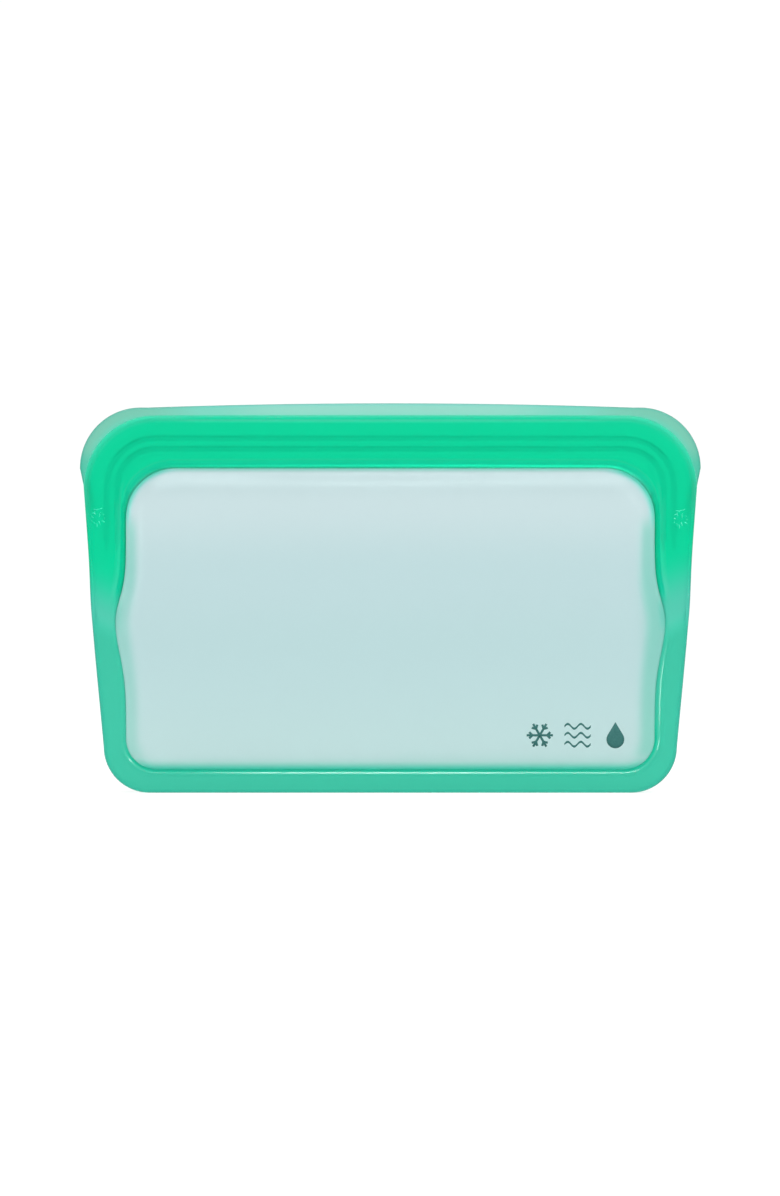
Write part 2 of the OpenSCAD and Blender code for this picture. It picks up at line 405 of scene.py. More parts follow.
def frame_shades(at, d, width, crest_at, z_inner, z_outer, side, outer):
    """How the silicone's colour varies over the frame, painted shade and painted highlights included:
    numbers from 0 to 1 that its material reads.
    """
    rim = width - d
    right = 1 if at.x > 0 else 0
    top = near_top(z_inner)
    straight = smooth(*STRAIGHT_TOP, z_inner)
    mouth = smooth(*SIDE_MOUTH, z_inner)
    bottom = fade(*SIDE_BOTTOM, z_inner)
    corner = fade(*SIDE_CORNER[right], z_inner)
    free_rim = smooth(*FREE_RIM, z_outer)

    slanted = at.y + GREEN_SHIFT * (1 - right) - GREEN_SLANT * (d / width - 0.5)
    vivid = max(smooth(*LIPS_GREEN, slanted), mouth * fade(*MOUTH_STRIP, d),
                CORNER_STRIP_GREEN * corner * fade(*CORNER_STRIP, d))

    # painted shade: the line beside the window and the lines along the top band
    low = max(LINE_CORNER * corner, LINE_LOW[right])
    line_width = between(*LINE_WIDTH, mouth)
    beside = between(low, 1, mouth) * fade(line_width, line_width + LINE_FADE, d)
    along_top = stripe(d / crest_at, *SLOPE_LINE) + stripe(d, *TOP_LINE)
    along_top += stripe(d, *TOP_EDGE_LINE) * straight
    painted_shade = LINE_DARK * between(beside, along_top, top)

    # the polished facet's line: its gloss, and a painted highlight in its colour
    polished = polish_gleam(at.x) * (1 - mouth) * max(bottom, right * fade(*POLISH_RIGHT, at.y))
    polished *= bump(d, GLINT_MIDDLE * crest_at, POLISH_SPREAD)
    side_strength, side_from, side_spread = SIDE_LIGHT
    top_strength, top_part, top_spread = TOP_LIGHT
    # painted highlights, mixed towards white: beside the shoulder line, along the top and on the polished
    # facet
    light = (1 - top) * mouth * stripe(d, side_strength, crest_at + side_from, side_spread)
    light += top * stripe(d, top_strength, top_part * crest_at, top_spread)
    light += POLISH_LIGHT * polished
    soft = top * edging(d, *SOFT_EDGE) + top * (1 - straight) * edging(d, *SOFT_CORNER)

    # painted shade darkening the outer edge; along the front lip's rim a painted shade line and a painted
    # highlight
    outline = edging(rim, *OUTLINE_NARROW) + edging(rim, *OUTLINE_WIDE)
    pale = 0.0
    if side < 0:
        sheen = fade(*SHEEN, abs(at.x))
        outline *= 1 - free_rim
        outline += free_rim * sheen * stripe(rim, *RIM_LINE)
        light += free_rim * sheen * stripe(rim, *RIM_LIGHT)
        soft = max(soft, free_rim * edging(rim, SOFT_RIM, SOFT_RIM_START, between(*SOFT_RIM_END, sheen)))
    else:
        pale = free_rim * fade(*PALE_RIM, rim)
    aside = smooth(*ASIDE, abs(at.x) / HALF_WIDTH) * between(ASIDE_HIGH, 1, fade(*ASIDE_DROPS, at.y))
    return {"vivid": vivid, "painted_shade": outer * min(1.0, painted_shade + outline), "light": outer * min(1.0, light),
            "polish": outer * min(1.0, light + POLISH_GLOSS * polished), "soft": soft, "pale": pale,
            "aside": aside}


def build_half_frame(name, edge, side, bow, material):
    """side is -1 for the front half and 1 for the rear half.

    bow lifts the middle of the top shoulder line.
    """
    vertices = []
    values = {}
    count = 0
    for (xi, zi), (xo, zo) in zip(WINDOW, edge):
        across = Vector((xo - xi, zo - zi))
        width = across.length
        top = near_top(zi)
        crest_at = between(SHOULDER_SIDE, SHOULDER_TOP, top)
        if zi < MOUTH_Z:
            crest_at += SHOULDER_GROWS * smooth(*GROWS_OVER, MOUTH_Z - zi)
            crest_at -= SHOULDER_SHRINKS * fade(*SHRINKS_BELOW, zi)
        crest_at += bow * top * max(0.0, 1 - (xi / BOW_HALF) ** 2)
        section = frame_section(width, crest_at, zi, zo, 1 if xi > 0 else 0)
        count = len(section)
        for d, depth, outer in section:
            at = Vector((xi, zi)) + across * (d / width)
            vertices.append((at.x, side * depth, at.y))
            for key, number in frame_shades(at, d, width, crest_at, zi, zo, side, outer).items():
                values.setdefault(key, []).append(number)
    faces = ring_faces(STATIONS, count, True)
    return make_piece(name, vertices, faces, values, material)


# ---------------------------------------------------------------- clear panels
RIM_STEPS = (0.05, 0.3, 0.7, 1.2, 1.8, 2.5, 3.3, 4.2, 5.2, 6.4)   # insets of the rim's rings, mm
CORE_RINGS = 18
CORE_HALF = 35 * MM
CORE_Z = (WINDOW_BOTTOM + WINDOW_TOP) / 2
CORE_REACH = 38 * MM         # inset that the core is given, beyond the last of the rim's rings
SHEET = 1.2 * MM

EDGE_DEPTH = (2.15, 1.7)     # of the outer face at the window's edge: away from the top, and along it, mm
EDGE_TOP = (WINDOW_TOP - 13 * MM, WINDOW_TOP - 2 * MM)
RIM_RISE = 2.4 * MM          # how much it rises behind the edge, within the rim's width
RIM_WIDTH = 4.5 * MM
RIM_POWER = 1.6
PILLOW = 1.55 * MM           # and how much more in the pouch's middle
PILLOW_HALF = WINDOW_SIDE + 6 * MM
PILLOW_Z = CORE_Z - 8 * MM
PILLOW_REACH = 54 * MM
PILLOW_POWERS = (0.5, 0.6)   # across and up
RIPPLE = 0.2 * MM            # and how uneven the sheet is
RIPPLE_SCALE = (22, 30)
RIPPLE_PLANE = 3.1
RIPPLE_GROWS = 12 * MM


def inward(points):
    """Unit normal of a closed outline at each point, towards the inside."""
    made = []
    for i in range(len(points)):
        (xa, za), (xb, zb) = points[i - 1], points[(i + 1) % len(points)]
        along = Vector((xb - xa, zb - za)).normalized()
        made.append(Vector((-along.y, along.x)))
    return made


def panel_depth(x, z, d):
    """Depth of the panel's outer face, d in from the window's edge."""
    rim = 1 - math.exp(-((d / RIM_WIDTH) ** RIM_POWER))
    across = max(0.0, 1 - (x / PILLOW_HALF) ** 2) ** PILLOW_POWERS[0]
    up = max(0.0, 1 - ((z - PILLOW_Z) / PILLOW_REACH) ** 2) ** PILLOW_POWERS[1]
    uneven = noise.noise(Vector((x * RIPPLE_SCALE[0], RIPPLE_PLANE, z * RIPPLE_SCALE[1])))
    ripple = RIPPLE * uneven * min(1.0, d / RIPPLE_GROWS)
    edge = between(*EDGE_DEPTH, smooth(*EDGE_TOP, z)) * MM
    return edge + rim * (RIM_RISE + PILLOW * across * up) + ripple


# Tint of the panels. LEVEL, LEVEL_ABOVE, FLAT, FLAT_KINK, RUN_OUT, CONTACT, KINK_TINT and CORNER_WIDTH
# are for the left and then for the right side.
TINT_TOP = (WINDOW_TOP - 13 * MM, WINDOW_TOP - 6 * MM)
TINT_BOTTOM = (0, 5 * MM)
TINT_BOTTOM_SLANT = 0.7
TINT_KINK = 14 * MM
TINT_BELOW = (MOUTH_Z - 10 * MM, MOUTH_Z + 16 * MM)
TINT_ABOVE = (MOUTH_Z, MOUTH_Z + 14 * MM)
LEVEL = (0.36, 0.56)
LEVEL_ABOVE = (0.14, 0)      # added above the mouth's ends
LEVEL_KINK = 0.04            # added at the kinks
FLAT = (1.6 * MM, 2.4 * MM)  # width over which the tint stays level
FLAT_KINK = (0.8 * MM, 1.6 * MM)
RUN_OUT = (2.2 * MM, 2.6 * MM)   # width over which it then fades out
RUN_OUT_BELOW = 0.8 * MM
CONTACT = (0.7, 1.0)         # the darkest tint, right at the edge
CONTACT_FADE = (-0.5 * MM, 0.9 * MM)
KINK_TINT = (0.6, 0.8)
KINK_FADE = (1.0 * MM, 3.6 * MM)
BOTTOM_TINT = 1.12
BOTTOM_TINT_WIDTH = 2.4 * MM
TOP_TINT = (0.8, 0, 1.1 * MM)
CORNER_X = (WINDOW_SIDE - WINDOW_TOP_R - 2 * MM, WINDOW_SIDE - WINDOW_TOP_R + 6 * MM)
CORNER_Z = (WINDOW_TOP - WINDOW_TOP_R - 5 * MM, WINDOW_TOP - WINDOW_TOP_R + 2 * MM)
CORNER_START = -0.2 * MM
CORNER_WIDTH = (1.6 * MM, 2.0 * MM)


def in_corner(x, z):
    """1 in the window's top corners, 0 away from them."""
    return smooth(*CORNER_X, abs(x)) * smooth(*CORNER_Z, z)


def panel_tint(x, z, d):
    """How much of the frame's green shows in the panel: strong at the edge, then level, then fading out."""
    right = 1 if x > 0 else 0
    top = smooth(*TINT_TOP, z)
    bottom = fade(*TINT_BOTTOM, z - WINDOW_BOTTOM - d * TINT_BOTTOM_SLANT)
    kink = bump(z, MOUTH_Z, TINT_KINK)
    level = LEVEL[right] + LEVEL_ABOVE[right] * smooth(*TINT_ABOVE, z) + LEVEL_KINK * kink
    flat = FLAT[right] + FLAT_KINK[right] * kink
    run_out = RUN_OUT[right] + RUN_OUT_BELOW * fade(*TINT_BELOW, z)
    beside = level * (1 - top) * (1 - bottom) * fade(flat, flat + run_out, d)
    shown = max(beside,
                CONTACT[right] * fade(*CONTACT_FADE, d),
                KINK_TINT[right] * kink**2 * fade(*KINK_FADE, d),
                bottom * min(1.0, max(0.0, BOTTOM_TINT - d / BOTTOM_TINT_WIDTH)),
                top * edging(d, *TOP_TINT))
    return shown * (1 - in_corner(x, z))


def corner_tint(x, z, d):
    """How much of the frame's bright green shows in the window's top corners."""
    return in_corner(x, z) * fade(CORNER_START, CORNER_WIDTH[1 if x > 0 else 0], d)


def build_panel(name, side, material):
    """The piece, and the tree of its outer face for casting rays onto it."""
    normals = inward(WINDOW)
    half = STATIONS // 2
    points, insets = [], []
    last = RIM_STEPS[-1] * MM
    for step in RIM_STEPS:
        for (x, z), n in zip(WINDOW, normals):
            points.append((x + n.x * step * MM, z + n.y * step * MM))
            insets.append(step * MM)
    for ring in range(1, CORE_RINGS + 1):
        s = ring / CORE_RINGS
        for i, ((x, z), n) in enumerate(zip(WINDOW, normals)):
            xa, za = x + n.x * last, z + n.y * last
            turn = math.pi * (i if i <= half else STATIONS - i) / half
            core_x = math.copysign(CORE_HALF * math.sin(turn), 1 if i <= half else -1)
            points.append((between(xa, core_x, s), between(za, CORE_Z, s)))
            insets.append(last + s * CORE_REACH)
    rings = len(RIM_STEPS) + CORE_RINGS
    front = [Vector((x, side * panel_depth(x, z, d), z)) for (x, z), d in zip(points, insets)]
    back = []
    for k in range(rings):
        for i in range(STATIONS):
            here = front[k * STATIONS + i]
            if k == rings - 1:
                normal = Vector((0, side, 0))
            else:
                a = front[k * STATIONS + (i + 1) % STATIONS] - front[k * STATIONS + i - 1]
                b = front[(k + 1) * STATIONS + i] - front[max(k - 1, 0) * STATIONS + i]
                normal = a.cross(b).normalized()
                if normal.y * side < 0:
                    normal = -normal
            back.append(here - normal * SHEET)
    shift = len(front)
    outside = ring_faces(rings, STATIONS, False)
    inside = [tuple(shift + v for v in reversed(f)) for f in outside]
    rim = [(i, shift + i, shift + (i + 1) % STATIONS, (i + 1) % STATIONS) for i in range(STATIONS)]
    vertices = front + back
    values = {"height": [v.z for v in vertices]}
    for key, shade in (("tint", panel_tint), ("corner", corner_tint)):
        values[key] = 2 * [shade(x, z, d) for (x, z), d in zip(points, insets)]
    piece = make_piece(name, vertices, outside + inside + rim, values, material)
    return piece, BVHTree.FromPolygons(front, outside)


# ---------------------------------------------------------------- press seal
SEAL_PITCH = 3.2 * MM
UPPER_RIB_IN = 7 * MM
RAIL_WIDTH = 1.2 * MM
RIB_WIDTH = 1.5 * MM
SEAL_END_Z = 74 * MM
TIP_GAP = 0.3 * MM
ROOT_SINKS = 0.02 * MM       # how far a strip is let into its lip
END = 4 * MM                 # length over which a strip's end runs out
END_TALL = 0.1               # parts of its height and width that are left there
END_WIDE = 0.25
LOW = 0.14                   # height of the strips beside the window, as a part of that along the top
RISE = (0.35, 0.8)           # where they rise to full height, in corner radii
SEAL_STEPS = (16, 28, 24)    # stretches up the side, round the corner and along half of the top
STRIP_HALF = ((0.16, 0.97), (0.3, 0.86), (0.4, 0.68), (0.46, 0.45), (0.49, 0.2), (0.5, 0.0))
STRIP_PROFILE = (*((-across, up) for across, up in reversed(STRIP_HALF)),
                 (0.0, 1.0), *STRIP_HALF, (0.0, 0.0))


def seal_line(inset):
    """Points and outward normals along the sealing line, from the right end over the top to the left end."""
    x, z = SHOULDER_HALF - FRONT_R, FRONT_TOP - FRONT_R
    r = FRONT_R - inset
    side, corner, top = SEAL_STEPS
    right = line((x + r, SEAL_END_Z), (x + r, z), side)
    right += arc(x, z, r, 0, 90, corner)
    right += line((x, z + r), (0, z + r), top)[1:] + [(0, z + r)]
    points = right + [(-px, pz) for px, pz in reversed(right[:-1])]
    normals = []
    for i in range(len(points)):
        (xa, za), (xb, zb) = points[max(i - 1, 0)], points[min(i + 1, len(points) - 1)]
        along = Vector((xb - xa, zb - za)).normalized()
        normals.append(Vector((along.y, -along.x)))
    return points, normals


def build_seal_strip(name, inset, width, side, material):
    """A rib or rail with a rounded tip. side is -1 on the front lip and 1 on the rear lip."""
    points, normals = seal_line(inset)
    root = HALF_DEPTH - LIP - ROOT_SINKS
    tall = 2 * (HALF_DEPTH - LIP) - TIP_GAP
    vertices = []
    travelled = 0.0
    lengths = [travelled]
    for i in range(1, len(points)):
        travelled += (Vector(points[i]) - Vector(points[i - 1])).length
        lengths.append(travelled)
    corner_z = FRONT_TOP - FRONT_R
    rise_low, rise_high = corner_z + RISE[0] * FRONT_R, corner_z + RISE[1] * (FRONT_R - inset)
    for (x, z), n, s in zip(points, normals, lengths):
        end = smooth(0, END, min(s, travelled - s))
        grow = tall * between(END_TALL, 1, end) * between(LOW, 1, smooth(rise_low, rise_high, z))
        wide = width * between(END_WIDE, 1, end)
        for across, up in STRIP_PROFILE:
            w = across * wide
            vertices.append((x + n.x * w, side * (root - up * grow), z + n.y * w))
    count = len(STRIP_PROFILE)
    faces = ring_faces(len(points), count, False)
    faces.append(tuple(range(count)))
    faces.append(tuple(reversed(range(len(vertices) - count, len(vertices)))))
    return make_piece(name, vertices, faces, {}, material)


# ---------------------------------------------------------------- printed care marks
MARK_LOW, MARK_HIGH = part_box("care_marks")
MARK = MARK_HIGH.z - MARK_LOW.z
MARK_LINE = 0.7 * MM
MARK_PITCH = 11.5 * MM
INK_OFF = 0.02 * MM          # from the panel to the ink
INK_THICK = 0.06 * MM
STROKE_STEPS = 4
BRANCH_AT = 0.28             # on the snowflake, in mark heights from its middle
BRANCH = 0.17
BRANCH_TURN = 45
WAVE_TALL = 0.09
WAVE_ROWS = 0.34
WAVE_STEPS = 32
DROP_R = 0.34
DROP_ROUND = (150, 390, 24)  # start, end and steps of the drop's round part, degrees
DROP_RINGS = (1.0, 0.66, 0.33, 0.02)


def heading(turn):
    """Unit vector in the direction turn (degrees)."""
    return Vector((math.cos(math.radians(turn)), math.sin(math.radians(turn))))


def on_skin(skin, point):
    """Depth at which a ray from the front meets the skin."""
    return skin.ray_cast(Vector((point.x, RAY_START, point.y)), Vector((0, 1, 0)))[0].y


def strip_between(low, high):
    """Faces and points of a ribbon between two lines with as many points each."""
    count = len(low)
    return low + high, [(i, i + 1, count + i + 1, count + i) for i in range(count - 1)]


def stroke(start, turn, length):
    """A straight stroke from start, in direction turn (degrees)."""
    along = heading(turn)
    aside = Vector((-along.y, along.x)) * (MARK_LINE / 2)
    line_points = [Vector(start) + along * (length * i / STROKE_STEPS) for i in range(STROKE_STEPS + 1)]
    return strip_between([p - aside for p in line_points], [p + aside for p in line_points])


def snowflake():
    parts = []
    for turn in range(0, 360, 60):
        parts.append(stroke((0, 0), turn, MARK / 2))
        for tilt in (-BRANCH_TURN, BRANCH_TURN):
            parts.append(stroke(heading(turn) * (BRANCH_AT * MARK), turn + tilt, BRANCH * MARK))
    return parts


def waves():
    parts = []
    for row in (-1, 0, 1):
        low, high = [], []
        for i in range(WAVE_STEPS + 1):
            t = i / WAVE_STEPS
            x = (t - 0.5) * MARK
            z = WAVE_TALL * MARK * math.sin(4 * math.pi * t) + row * WAVE_ROWS * MARK
            low.append(Vector((x, z - MARK_LINE / 2)))
            high.append(Vector((x, z + MARK_LINE / 2)))
        parts.append(strip_between(low, high))
    return parts


def drop():
    r = DROP_R * MARK
    middle = Vector((0, r - MARK / 2))
    edge = [Vector(p) for p in arc(*middle, r, *DROP_ROUND)] + [Vector((0, MARK / 2))]
    rings = [[middle + (p - middle) * k for p in edge] for k in DROP_RINGS]
    points = [p for ring in rings for p in ring]
    faces = ring_faces(len(rings), len(edge), False)
    faces.append(tuple(range(len(points) - len(edge), len(points))))
    return [(points, faces)]


def build_care_marks(name, skin, material):
    """The marks as a thin film of ink that follows the front panel."""
    vertices, faces = [], []
    first = Vector((MARK_LOW.x + MARK / 2, (MARK_LOW.z + MARK_HIGH.z) / 2))
    for number, parts in enumerate((snowflake(), waves(), drop())):
        for points, patch in parts:
            start, count = len(vertices), len(points)
            placed = [first + Vector((number * MARK_PITCH, 0)) + p for p in points]
            depths = [on_skin(skin, p) for p in placed]
            vertices += [(p.x, y - INK_OFF - INK_THICK, p.y) for p, y in zip(placed, depths)]
            vertices += [(p.x, y - INK_OFF, p.y) for p, y in zip(placed, depths)]
            faces += [tuple(start + i for i in f) for f in patch]
            faces += [tuple(start + count + i for i in reversed(f)) for f in patch]
            edges = {}
            for f in patch:
                for a, b in zip(f, f[1:] + f[:1]):
                    edges[a, b] = True
            for a, b in edges:
                if (b, a) not in edges:
                    faces.append((start + b, start + a, start + count + a, start + count + b))
    return make_piece(name, vertices, faces, {}, material)


# ---------------------------------------------------------------- crinkled flecks on the lip's skin
FLECK_WIDTH = 0.26 * MM
FLECK_TALL = 0.14 * MM
FLECK_OFF = 0.02 * MM        # from the lip to the flecks' foot
FLECKS_RIGHT = (88.2 * MM, 83.6 * MM)    # middles of the two patches
FLECKS_LEFT = (-89.2 * MM, 84.0 * MM)
FLECKS_LEFT_SCALE = 0.6      # the left ones are flatter
FLECKS = 16
FLECK_STEPS = 7
FLECK_SPREAD = (2.4 * MM, 3.2 * MM)
FLECK_TURN = 2.4             # from one fleck to the next round the middle, radians
FLECK_HEADING = (0.9, 1.3, 2.1)      # mean, swing and how fast it varies from fleck to fleck
FLECK_BEND = (1.6, 1.7)      # swing and how fast it varies
FLECK_LENGTH = (0.9 * MM, 0.5 * MM, 1.3)
FLECK_END = 0.25             # part of its width and height that is left at its ends
FLECK_PROFILE = ((-0.5, 0.0), (-0.3, 0.75), (0.0, 1.0), (0.3, 0.75), (0.5, 0.0))


def build_flecks(name, middle, scale, skin, material):
    """Short curved ridges scattered round a point of the front lip, each a closed strip on its surface."""
    vertices, faces = [], []
    count, last = len(FLECK_PROFILE), FLECK_STEPS - 1
    for k in range(FLECKS):
        turn = FLECK_TURN * k
        spread = Vector((FLECK_SPREAD[0] * math.cos(turn), FLECK_SPREAD[1] * math.sin(turn)))
        at = Vector(middle) + spread * math.sqrt((k + 0.5) / FLECKS)
        mean, swing, pace = FLECK_HEADING
        first_angle = mean + swing * math.sin(pace * k)
        bend = FLECK_BEND[0] * math.cos(FLECK_BEND[1] * k)
        mean, swing, pace = FLECK_LENGTH
        long = mean + swing * math.sin(pace * k + 1)
        start = len(vertices)
        for i in range(FLECK_STEPS):
            t = i / last
            angle = first_angle + bend * t
            along = Vector((math.cos(angle), math.sin(angle)))
            aside = Vector((-along.y, along.x))
            slim = between(FLECK_END, 1, math.sin(math.pi * t))
            for across, up in FLECK_PROFILE:
                p = at + aside * (across * FLECK_WIDTH * slim)
                y = on_skin(skin, p) - FLECK_OFF
                vertices.append((p.x, y - up * scale * FLECK_TALL * slim, p.y))
            at = at + along * (long / last)
        faces += [tuple(start + v for v in f) for f in ring_faces(FLECK_STEPS, count, False)]
        faces.append(tuple(start + v for v in range(count)))
        faces.append(tuple(start + last * count + v for v in reversed(range(count))))
    return make_piece(name, vertices, faces, {}, material)


# ---------------------------------------------------------------- materials
WHITE = (1, 1, 1)
ROUGHNESS = (0.29, 0.36)     # of all the silicone, varying slowly
SILICONE_IOR = 1.41
COAT_ROUGHNESS = 0.06
SLOW_NOISE = (45, 3)         # scale and detail
GRAIN_NOISE = (1800, 2)
SPECKLE_NOISE = (2500, 2)
SLOW_HEIGHT = 0.03 * MM
GRAIN_HEIGHT = 0.015 * MM
GRAIN_STRENGTH = 0.15

SEAM_TINT = (0.465, 0.80, 0.735)
FRONT_LIP_TINT = (0.04, 0.945, 0.69)
REAR_LIP_TINT = (0.12, 0.76, 0.585)
FREE_EDGE_TINTS = ((0.0, (0.50, 0.735, 0.66)), (0.42, (0.36, 0.71, 0.61)),
                   (0.8, (0.335, 0.60, 0.49)), (1.0, (0.15, 0.565, 0.43)))
# colours multiplied in for painted shade: LINE_SHADE for the lines beside the window and along the top,
# OUTLINE_SHADE for the darkened outer edge
LINE_SHADE = (0.25, 0.71, 0.77)
OUTLINE_SHADE = (0.40, 0.40, 0.40)
GREEN_SHINE = (0.03, 0.4, 0.32)
GREEN_WAVINESS = 0.06
GREEN_GLOSS = 0.1
GREEN_DEPTH = (0.03, 0.90, 0.75)
GREEN_DENSITY = 250

RIB_TINT = (0.80, 0.90, 0.91)
RAIL_TINT = WHITE
SEAL_IOR = 1.15              # low, as the strips touch the lips that they stand on
FLECK_TINTS = ((0.13, 0.88, 0.65), (0.07, 0.84, 0.58))
FLECK_SHINE = (0.1, 0.5, 0.4)
FLECK_GLOSS = 0.3
FLECK_CLEAR = 0.4
FLECK_IOR = 1.2

# painted shade by height over the clear panels: lightest high up, darker lower down and at the very top
PANEL_HEIGHT_SHADE = ((0.0, (0.705, 0.835, 0.83)), (0.4, (0.70, 0.83, 0.835)), (0.65, (0.72, 0.84, 0.85)),
               (0.88, (0.77, 0.865, 0.875)), (0.98, (0.725, 0.825, 0.835)))
EDGE_TINTS = ((0.0, WHITE), (0.55, (0.735, 0.955, 0.89)),
              (0.85, (0.50, 0.92, 0.815)), (1.0, (0.20, 0.87, 0.72)))
CORNER_TINTS = ((0.0, WHITE), (0.25, (0.84, 1, 0.98)), (0.6, (0.64, 1, 0.915)), (1.0, (0.27, 0.94, 0.77)))
PANEL_SHINE = (0.5, 0.6, 0.6)
PANEL_WAVINESS = 0.12
PANEL_GLOSS = 0.05

INK_TINTS = ((0.3, (0.02, 0.10, 0.092)), (0.8, (0.03, 0.125, 0.115)))
INK_ROUGHNESS = 0.6
INK_SPECULAR = 0.2


def new_material(name):
    material = bpy.data.materials.new(name)
    material.use_nodes = True
    nodes, links = material.node_tree.nodes, material.node_tree.links
    return material, nodes, links, nodes["Principled BSDF"]


def add(nodes, kind, **settings):
    node = nodes.new(kind)
    for key, value in settings.items():
        setattr(node, key, value)
    return node

def set_inputs(node, values):
    for key, value in values.items():
        node.inputs[key].default_value = value


def ramp(nodes, links, source, stops, interpolation="EASE"):
    node = add(nodes, "ShaderNodeValToRGB")
    node.color_ramp.interpolation = interpolation
    elements = node.color_ramp.elements
    while len(elements) < len(stops):
        elements.new(0.5)
    for element, (at, colour) in zip(elements, stops):
        element.position = at
        element.color = (*colour, 1)
    links.new(source, node.inputs["Fac"])
    return node.outputs["Color"]


def ranged(nodes, links, source, low, high, first=0, last=1):
    """The source's value brought from low..high to first..last."""
    node = add(nodes, "ShaderNodeMapRange")
    set_inputs(node, {"From Min": low, "From Max": high, "To Min": first, "To Max": last})
    links.new(source, node.inputs["Value"])
    return node.outputs["Result"]


def blended(nodes, links, factor, first, second, kind="MIX"):
    """Mixes two colours, each of them a colour or an output, by the factor output."""
    node = add(nodes, "ShaderNodeMix", data_type="RGBA", blend_type=kind)
    colours = [socket for socket in node.inputs if socket.type == "RGBA"]
    if factor is None:
        node.inputs["Factor"].default_value = 1
    else:
        links.new(factor, node.inputs["Factor"])
    for socket, value in zip(colours, (first, second)):
        if isinstance(value, tuple):
            socket.default_value = (*value, 1)
        else:
            links.new(value, socket)
    return next(socket for socket in node.outputs if socket.type == "RGBA")


def attribute(nodes, name):
    return add(nodes, "ShaderNodeAttribute", attribute_name=name).outputs["Fac"]


def noise_texture(nodes, scale, detail):
    node = add(nodes, "ShaderNodeTexNoise")
    set_inputs(node, {"Scale": scale, "Detail": detail})
    return node


def bump_map(nodes, links, texture, strength, distance):
    node = add(nodes, "ShaderNodeBump")
    set_inputs(node, {"Strength": strength, "Distance": distance})
    links.new(texture.outputs["Fac"], node.inputs["Height"])
    return node


def silicone_surface(nodes, links, shader, waviness, shine, gloss, polish=None):
    """Fine matt grain over a slow waviness, as bump, and a roughness that varies with it.

    polish is a socket that is 1 where the mould was polished and the surface has its full gloss.
    """
    where = add(nodes, "ShaderNodeTexCoord").outputs["Object"]
    grain = noise_texture(nodes, *GRAIN_NOISE)
    slow = noise_texture(nodes, *SLOW_NOISE)
    for texture in (grain, slow):
        links.new(where, texture.inputs["Vector"])
    first = bump_map(nodes, links, slow, waviness, SLOW_HEIGHT)
    second = bump_map(nodes, links, grain, GRAIN_STRENGTH, GRAIN_HEIGHT)
    links.new(first.outputs["Normal"], second.inputs["Normal"])
    links.new(second.outputs["Normal"], shader.inputs["Normal"])
    links.new(ranged(nodes, links, slow.outputs["Fac"], 0, 1, *ROUGHNESS), shader.inputs["Roughness"])
    set_inputs(shader, {"Transmission Weight": 1.0, "IOR": SILICONE_IOR, "Specular Tint": (*shine, 1),
                        "Coat Weight": gloss, "Coat Roughness": COAT_ROUGHNESS, "Coat IOR": SILICONE_IOR})
    if polish:
        links.new(ranged(nodes, links, polish, 0, 1, gloss, 1), shader.inputs["Coat Weight"])


def absorption(nodes, links, colour, density):
    volume = add(nodes, "ShaderNodeVolumeAbsorption")
    set_inputs(volume, {"Color": (*colour, 1), "Density": density})
    links.new(volume.outputs["Volume"], nodes["Material Output"].inputs["Volume"])


def green_silicone(name, lip_tint):
    """Green silicone that deepens from the seams to the lips and pales at the rear lip's free edge, with
    painted highlights and painted shade over it.
    """
    material, nodes, links, shader = new_material(name)
    tint = ramp(nodes, links, attribute(nodes, "vivid"), ((0.0, SEAM_TINT), (1.0, lip_tint)))
    free_edge = ramp(nodes, links, attribute(nodes, "aside"), FREE_EDGE_TINTS)
    tint = blended(nodes, links, attribute(nodes, "pale"), tint, free_edge)
    # painted highlights (the light attribute) and the soft, paler edges are mixed towards white
    for key in ("light", "soft"):
        tint = blended(nodes, links, attribute(nodes, key), tint, WHITE)
    # painted shade, multiplied in: lines beside the window and along the top, and the darkened outer edge
    stops = ((0.0, WHITE), (0.5, LINE_SHADE), (1.0, OUTLINE_SHADE))
    shade = ramp(nodes, links, attribute(nodes, "painted_shade"), stops, "LINEAR")
    links.new(blended(nodes, links, None, tint, shade, "MULTIPLY"), shader.inputs["Base Color"])
    polish = attribute(nodes, "polish")
    silicone_surface(nodes, links, shader, GREEN_WAVINESS, GREEN_SHINE, GREEN_GLOSS, polish)
    absorption(nodes, links, GREEN_DEPTH, GREEN_DENSITY)
    return material


def seal_silicone(name, tint):
    """The ribs and rails, a little lighter than the lips that they stand on."""
    material, nodes, links, shader = new_material(name)
    silicone_surface(nodes, links, shader, GREEN_WAVINESS, GREEN_SHINE, GREEN_GLOSS)
    set_inputs(shader, {"Base Color": (*tint, 1), "IOR": SEAL_IOR})
    return material


def fleck_silicone(name, tint):
    """The skin of the crinkled flecks: green silicone, paler and shinier than the matt lip under it."""
    material, nodes, links, shader = new_material(name)
    silicone_surface(nodes, links, shader, GREEN_WAVINESS, FLECK_SHINE, FLECK_GLOSS)
    set_inputs(shader, {"Base Color": (*tint, 1), "Transmission Weight": FLECK_CLEAR, "IOR": FLECK_IOR})
    return material


def clear_silicone():
    """Clear silicone, tinted by the green that it is bonded to along its edge, with painted shade that
    changes with height.
    """
    material, nodes, links, shader = new_material("clear_silicone")
    # painted shade that changes with height
    up = ranged(nodes, links, attribute(nodes, "height"), WINDOW_BOTTOM, WINDOW_TOP)
    colour = ramp(nodes, links, up, PANEL_HEIGHT_SHADE)
    for key, stops in (("tint", EDGE_TINTS), ("corner", CORNER_TINTS)):
        tint = ramp(nodes, links, attribute(nodes, key), stops, "LINEAR")
        colour = blended(nodes, links, None, colour, tint, "MULTIPLY")
    links.new(colour, shader.inputs["Base Color"])
    silicone_surface(nodes, links, shader, PANEL_WAVINESS, PANEL_SHINE, PANEL_GLOSS)
    return material


